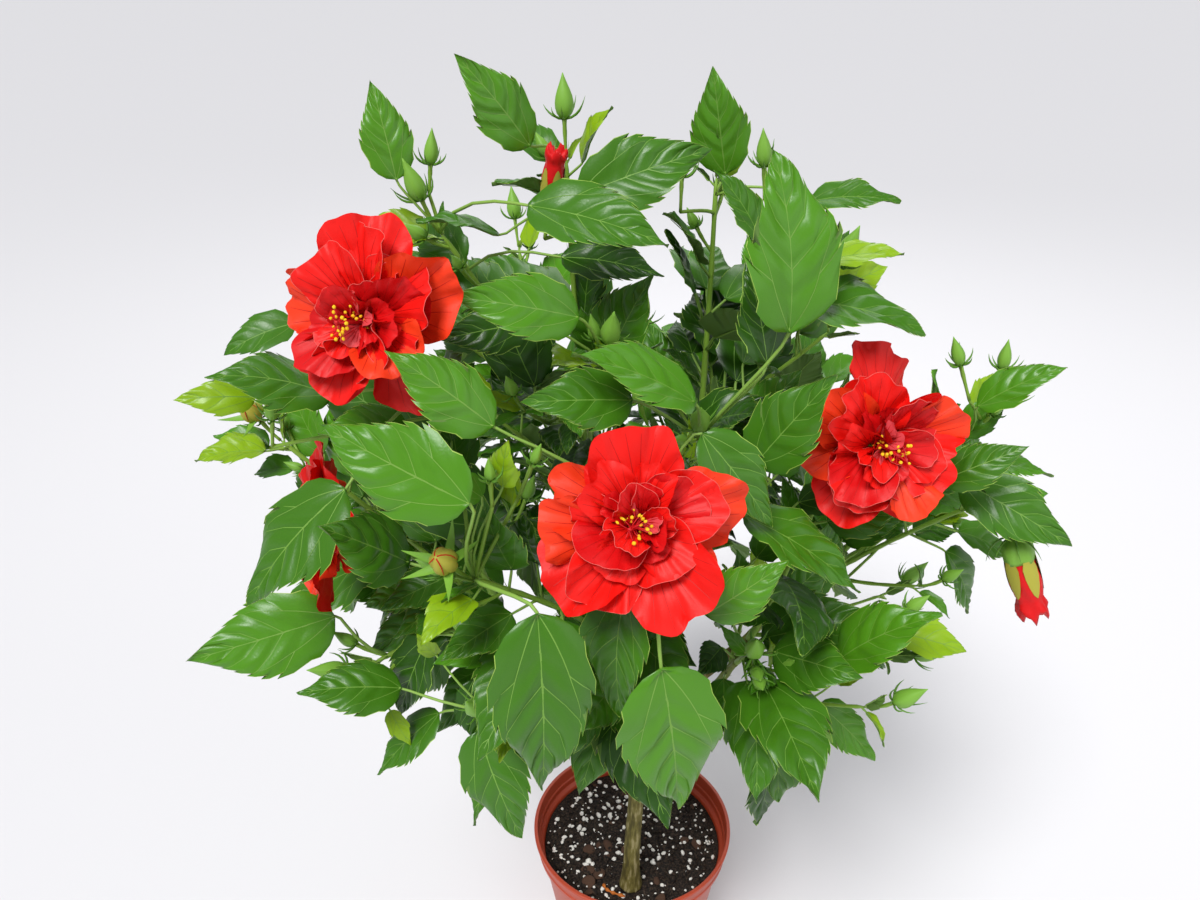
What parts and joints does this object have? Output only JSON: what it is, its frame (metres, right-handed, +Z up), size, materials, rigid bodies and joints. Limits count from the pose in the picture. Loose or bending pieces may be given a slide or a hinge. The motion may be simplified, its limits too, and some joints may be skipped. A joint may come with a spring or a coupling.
{
  "type": "potted hibiscus shrub",
  "caption": "Small standard hibiscus in a nursery pot: one clear stem, short boughs and a round leafy crown with red double blooms and buds.",
  "frame": {"origin": "centre of the pot's flat underside", "axes": "+Z up along the pot's axis, +Y towards the back of the plant, +X to its right"},
  "size_m": [0.5412, 0.4531, 0.7388],
  "materials": {
    "pot_plastic": "smooth moulded plastic, satin",
    "potting_mix": "damp peat and bark with white perlite",
    "bark": "thin young bark with pale pores",
    "foliage": "glossy leaves, ruffled petals"
  },
  "bodies": {
    "root": {"pot": "pot_plastic", "potting_mix": "potting_mix", "trunk": "bark", "bough_front": "bark", "bough_left_front": "bark", "bough_left": "bark", "bough_top_left": "bark", "bough_top_right": "bark", "bough_right_front": "bark", "bough_right": "bark", "bough_back_right": "bark", "bough_back_left": "bark", "foliage_front": "foliage", "foliage_left_front": "foliage", "foliage_left": "foliage", "foliage_top_left": "foliage", "foliage_top_right": "foliage", "foliage_right_front": "foliage", "foliage_right": "foliage", "foliage_back_right": "foliage", "foliage_back_left": "foliage"}
  },
  "joints": []
}
